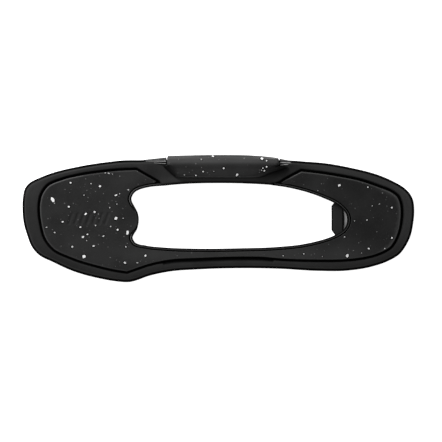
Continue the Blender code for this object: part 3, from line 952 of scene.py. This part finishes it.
# How far in from the end of the CAD wing its root is, and how near its other end a vertex is at the tip.
WING_ROOT_INSET = {"left": 0.44, "right": 0.45}
TIP_SLACK = 0.02
# How strong the painted highlights on each wing are.
WING_HIGHLIGHT = {"left": 0.4, "right": 1.0}


def wing_ends(node, side):
    """The inner corners of a CAD wing at its root and its tip."""
    low, high = box(node)
    root_x, tip_x, inwards = (high.x, low.x, -1) if side == "left" else (low.x, high.x, 1)
    bm = copy_cad(node)
    tip_y = min(v.co.y for v in bm.verts if abs(v.co.x - tip_x) < TIP_SLACK)
    bm.free()
    return Vector((root_x + inwards * WING_ROOT_INSET[side], low.y)), Vector((tip_x, tip_y))


def make_wing(side):
    """A wedge beside the grip, tapering outwards, with a long rib and a short one."""
    node = "grip_wing_" + side
    low, high = box(node)
    root, tip = wing_ends(node, side)
    along = (tip - root).normalized()
    out = Vector((-along.y, along.x))
    out = out if out.y > 0 else -out
    bm = new_mesh()
    rings = []
    for k in range(WING_STATIONS + 1):
        share = k / WING_STATIONS
        size = 1 - share * (1 - WING_TIP_SHARE)
        base = root.lerp(tip, share)
        kept = fade(RIB_END - share, 0.0, RIB_FADE)
        points = []
        tints = []
        for across, drop, tint in WING_SECTION:
            inner = INNER_RIB[0] < across < INNER_RIB[1]
            spot = base + out * (across * size)
            sunk = RIB_SUNK * (1 - kept) * (WING_DEPTH - drop) / WING_DEPTH if inner else 0.0
            points.append((spot.x, spot.y, low.z + (high.z - low.z - drop - sunk) * size))
            tint = min(tint, tint * WING_HIGHLIGHT[side])
            tints.append(tint * kept + SUNK_TINT * (1 - kept) if inner and tint > 0 else tint)
        rings.append(add_ring(bm, points, tints))
    bridge(bm, rings)
    bm.faces.new(rings[0])
    bm.faces.new(rings[-1])
    add_piece("wing_" + side, bm, WING_RUBBER, "wing_rubber", node, sharp=50)


# Pale chips: x, y, length, width as a share of it, turn in degrees, tone.
DECK_CHIPS = [
    (-93.0, 10.5, 3.0, 0.6, 115, 1.0), (-92.0, 8.5, 0.9, 0.7, 20, 0.5), (-84.0, 6.5, 1.2, 0.9, 0, 1.0),
    (-83.0, 20.0, 1.1, 0.9, 0, 0.9), (-71.5, 19.5, 0.9, 0.8, 0, 0.6), (-66.5, 18.0, 1.5, 0.8, 30, 1.0),
    (-75.5, 13.0, 0.9, 0.9, 0, 0.4), (-57.5, 13.0, 1.8, 0.5, 25, 0.9), (-55.5, 13.8, 1.0, 0.5, 60, 0.5),
    (-50.5, 16.0, 1.0, 0.8, 0, 0.6), (-74.5, 2.5, 1.6, 0.7, 40, 1.0), (-69.5, 3.5, 1.2, 0.9, 0, 0.9),
    (-57.5, 0.0, 1.9, 0.8, 60, 1.0), (-53.5, 0.0, 0.9, 0.8, 0, 0.5), (-61.0, 6.0, 0.9, 0.8, 0, 0.5),
    (-57.0, 8.0, 0.8, 0.8, 0, 0.4), (-87.5, -2.0, 1.3, 0.7, 20, 0.9), (-77.5, -5.0, 1.1, 0.8, 0, 0.9),
    (-69.0, -4.0, 0.9, 0.9, 0, 0.6), (-60.5, -4.5, 0.9, 0.8, 0, 0.7), (-56.5, -6.5, 1.2, 0.9, 0, 1.0),
    (-51.0, -8.0, 2.8, 0.5, 80, 1.0), (-76.0, -10.5, 1.5, 0.8, 50, 1.0), (-73.5, -9.0, 1.0, 0.9, 0, 0.9),
    (-74.0, -12.5, 0.8, 0.8, 0, 0.5), (-64.5, -10.0, 1.1, 0.7, 40, 0.8), (-96.5, -5.0, 1.0, 0.8, 0, 0.5),
    (-92.0, -8.0, 1.0, 0.8, 0, 0.6), (-82.0, -16.0, 1.2, 0.9, 0, 0.9), (-70.0, -15.5, 1.4, 0.7, 20, 0.9),
    (-75.5, -21.5, 2.2, 0.8, 60, 1.0), (-52.0, -16.0, 0.9, 0.9, 0, 0.6), (-52.5, -25.0, 1.5, 0.7, 130, 0.9),
    (-45.5, -25.0, 1.1, 0.7, 0, 0.5), (-41.0, -21.0, 1.3, 0.8, 60, 1.0), (-61.5, 25.2, 1.4, 0.4, 160, 0.6),
    (-63.5, 25.5, 1.0, 0.6, 0, 0.4), (-59.5, 24.9, 0.9, 0.5, 130, 0.5), (15.5, -18.8, 0.9, 0.8, 0, 0.7),
    (36.5, -21.0, 0.9, 0.8, 0, 0.6), (48.0, -20.0, 0.9, 0.8, 0, 0.8), (58.5, -21.5, 0.7, 0.8, 0, 0.4),
    (68.0, 18.5, 1.9, 0.6, 30, 1.0), (84.0, 17.5, 1.0, 0.8, 0, 0.8), (56.0, 15.5, 0.7, 0.9, 0, 0.4),
    (94.5, 15.5, 1.0, 0.8, 0, 0.8), (90.5, 8.0, 0.9, 0.7, 0, 0.5), (86.5, 7.0, 0.9, 0.7, 0, 0.5),
    (97.5, 6.0, 1.1, 0.9, 0, 0.9), (83.5, -1.0, 1.0, 0.7, 0, 0.6), (76.5, -1.5, 0.8, 0.9, 0, 0.4),
    (97.5, -11.0, 1.1, 0.9, 0, 0.9), (84.5, -17.0, 1.2, 0.9, 0, 1.0), (93.5, -17.0, 0.9, 0.8, 0, 0.7),
    (72.5, -21.0, 2.0, 0.8, 80, 1.0), (71.0, -10.5, 0.9, 0.8, 0, 0.8), (80.5, -19.5, 0.8, 0.7, 0, 0.4),
]
GRIP_CHIPS = [
    (-8.5, 26.2, 1.1, 0.8, 0, 0.9), (-12.5, 24.0, 1.0, 0.8, 0, 0.9), (3.0, 28.0, 1.1, 0.9, 0, 1.0),
    (-3.0, 34.8, 1.4, 0.6, 0, 1.0), (-2.5, 26.3, 0.7, 0.9, 0, 0.4), (24.5, 33.5, 1.6, 0.8, 0, 1.0),
    (10.5, 24.3, 1.9, 0.6, 60, 1.0), (27.0, 28.8, 1.1, 0.8, 30, 0.9), (25.0, 28.1, 0.9, 0.8, 0, 0.8),
    (25.8, 26.6, 1.1, 0.8, 30, 0.9), (24.3, 26.9, 0.8, 0.8, 0, 0.7), (-9.5, 33.0, 1.0, 0.8, 0, 0.4),
    (-19.0, 24.3, 1.0, 0.8, 0, 0.4), (27.0, 32.2, 1.0, 0.8, 0, 0.6),
]
# How many small chips are scattered besides, and their lengths, widths as a share, turns and tones.
DECK_SMALL = 130
GRIP_SMALL = 20
SMALL_LENGTHS = (0.35, 0.85)
SMALL_SHARES = (0.6, 1.0)
SMALL_TURNS = (0, 180)
SMALL_TONES = (0.04, 0.2)
# A scattered chip needs the face under it and this far to each side.
SMALL_ROOM = 1.0
# A chip has this many sides, its corners this far off their even places, as a share of a side, and this
# share of its half length from its middle.
CHIP_SIDES = (8, 12)
CORNER_DRIFT = 0.25
CORNER_REACHES = (0.8, 1.15)
# Its dark border's width, as (least tone, width) rows with the brightest first.
BORDERS = ((0.75, 0.5), (0.3, 0.38), (0.0, 0.01))
# Its rings: whether it is on the border's outer edge, its share of the chip, its height over the face, and
# whether it is pale.
CHIP_RINGS = ((True, 1.0, -0.12, 0), (True, 1.0, 0.02, 0), (False, 1.0, 0.03, 0), (False, 0.97, 0.06, 1))
CHIP_RINGS += ((False, 0.75, 0.09, 1),)
# Faces flatter than this, as their normal's rise, and above this depth below the rim's top take chips.
FLAT_ENOUGH = 0.25
CHIPS_DEPTH = 2.0
RAY_HEIGHT = 0.1


def face_finder(target):
    """A function that gives the place and normal of the target's face at (x, y), if a chip can lie there."""
    surface = BVHTree.FromObject(target, bpy.context.evaluated_depsgraph_get())

    def under(x, y):
        start = Vector((x * MM, y * MM, RAY_HEIGHT))
        hit, normal, _, _ = surface.ray_cast(start, Vector((0, 0, -1)))
        good = hit and normal.z > FLAT_ENOUGH and hit.z / MM > RIM_HIGH.z - CHIPS_DEPTH
        return (hit / MM, normal) if good else None

    return under


def scatter(target, under, listed, small, rng):
    """The listed chips and as many small ones, clear of each other."""
    bound = [Vector(c) / MM for c in target.bound_box]
    low = Vector((min(c.x for c in bound), min(c.y for c in bound)))
    high = Vector((max(c.x for c in bound), max(c.y for c in bound)))
    widest = BORDERS[0][1]
    around = [(SMALL_ROOM * x, SMALL_ROOM * y) for x, y in ((-1, 0), (1, 0), (0, -1), (0, 1), (0, 0))]
    chosen = list(listed)
    while len(chosen) < len(listed) + small:
        x, y = rng.uniform(low.x, high.x), rng.uniform(low.y, high.y)
        length = SMALL_LENGTHS[0] + (SMALL_LENGTHS[1] - SMALL_LENGTHS[0]) * rng.random() ** 2
        share = rng.uniform(*SMALL_SHARES)
        turn = rng.uniform(*SMALL_TURNS)
        tone = rng.uniform(*SMALL_TONES)
        apart = all(math.hypot(x - c[0], y - c[1]) > (c[2] + length) / 2 + widest for c in chosen)
        if apart and all(under(x + dx, y + dy) for dx, dy in around):
            chosen.append((x, y, length, share, turn, tone))
    return chosen


def chip_outline(x, y, length, share, turn, rng):
    """The corners of an irregular chip."""
    sides = rng.randint(*CHIP_SIDES)
    spin = Matrix.Rotation(math.radians(turn), 2)
    line = []
    for k in range(sides):
        angle = 2 * math.pi * (k + rng.uniform(-CORNER_DRIFT, CORNER_DRIFT)) / sides
        reach = length / 2 * rng.uniform(*CORNER_REACHES)
        line.append(Vector((x, y)) + spin @ Vector((math.cos(angle), math.sin(angle) * share)) * reach)
    return line


def make_chips(name, target, listed, small):
    """Irregular chips set into the target's upper face, the small ones scattered with a fixed seed."""
    rng = random.Random(SEED + small)
    under = face_finder(target)
    bm = new_mesh()
    tones = bm.verts.layers.float["tone"]
    for x, y, length, share, turn, tone in scatter(target, under, listed, small, rng):
        spots = [under(p.x, p.y) for p in chip_outline(x, y, length, share, turn, rng)]
        middle = under(x, y)
        if not middle or not all(spots):
            continue
        border = next(width for least, width in BORDERS if tone > least)
        rings = []
        for at_border, scale, lift, pale in CHIP_RINGS:
            reach = 1 + 2 * border / length if at_border else scale
            ring = add_ring(bm, [middle[0].lerp(hit, reach) + normal * lift for hit, normal in spots])
            for vert in ring:
                vert[tones] = tone * pale
            rings.append(ring)
        bridge(bm, rings)
        bm.faces.new(rings[-1])
        bm.faces.new(rings[0][::-1])
    add_piece(name, bm, CHIPS, "flecked_rubber", sharp=25)


make_rim()
deck = make_deck()
make_carrier()
make_crossbar()
grip = make_grip()
make_wing("left")
make_wing("right")
for node in ("adhesive_left", "adhesive_right", "adhesive_top", "adhesive_lower"):
    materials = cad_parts[node].data.materials
    materials.clear()
    materials.append(ADHESIVE)
bpy.context.view_layer.update()
make_chips("deck_chips", deck, DECK_CHIPS, DECK_SMALL)
make_chips("grip_chips", grip, GRIP_CHIPS, GRIP_SMALL)

# The stage, in metres

FLOOR_HALF = 3.0
FLOOR_GLOW = 0.95
WHITE = (1.0, 1.0, 1.0, 1.0)
WORLD_STRENGTH = 0.26
BACKDROP_STRENGTH = 1.0
# The camera looks straight down at AIM, and its picture is FRAME_WIDTH wide there.
FRAME_WIDTH = 0.2485
LENS = 180.0
SENSOR = 36.0
AIM = Vector((0.0015, -0.0015, 0.005))


def make_floor():
    """A large pale floor."""
    bm = bmesh.new()
    bmesh.ops.create_grid(bm, x_segments=2, y_segments=2, size=FLOOR_HALF)
    mesh = bpy.data.meshes.new("studio_floor")
    bm.to_mesh(mesh)
    bm.free()
    floor = bpy.data.objects.new("studio_floor", mesh)
    bpy.context.scene.collection.objects.link(floor)
    n = Nodes("studio_white", 0.9, 0.1)
    n.shader.inputs["Emission Color"].default_value = WHITE
    n.shader.inputs["Emission Strength"].default_value = FLOOR_GLOW
    mesh.materials.append(n.finish(n.mix(n.noise(3.0), grey(0.88), grey(0.92))))


def add_light(name, place, size, power):
    """A round soft light that points at the origin."""
    data = bpy.data.lights.new(name, "AREA")
    data.shape = "DISK"
    data.size = size
    data.energy = power
    light = bpy.data.objects.new(name, data)
    light.location = place
    light.rotation_euler = (-Vector(place)).to_track_quat("-Z", "Y").to_euler()
    light.visible_camera = False
    bpy.context.scene.collection.objects.link(light)


def make_world():
    """Even white light all round, and a white backdrop."""
    world = bpy.data.worlds.new("studio")
    bpy.context.scene.world = world
    world.use_nodes = True
    tree = world.node_tree
    background = tree.nodes["Background"]
    background.inputs["Color"].default_value = WHITE
    seen = tree.nodes.new("ShaderNodeLightPath").outputs["Is Camera Ray"]
    level = tree.nodes.new("ShaderNodeMapRange")
    level.inputs["To Min"].default_value = WORLD_STRENGTH
    level.inputs["To Max"].default_value = BACKDROP_STRENGTH
    tree.links.new(seen, level.inputs["Value"])
    tree.links.new(level.outputs["Result"], background.inputs["Strength"])


def make_camera():
    """A camera with a long lens, straight above the pad."""
    data = bpy.data.cameras.new("camera")
    data.lens = LENS
    data.sensor_width = SENSOR
    data.clip_start = 0.01
    camera = bpy.data.objects.new("camera", data)
    camera.location = AIM + Vector((0, 0, FRAME_WIDTH * LENS / SENSOR))
    bpy.context.scene.collection.objects.link(camera)
    bpy.context.scene.camera = camera


make_floor()
add_light("key", (-0.30, 0.38, 0.24), 0.22, 3.2)
add_light("top", (-0.3, 0.1, 0.6), 0.5, 0.9)
make_world()
make_camera()
bpy.context.scene.view_settings.view_transform = "Standard"
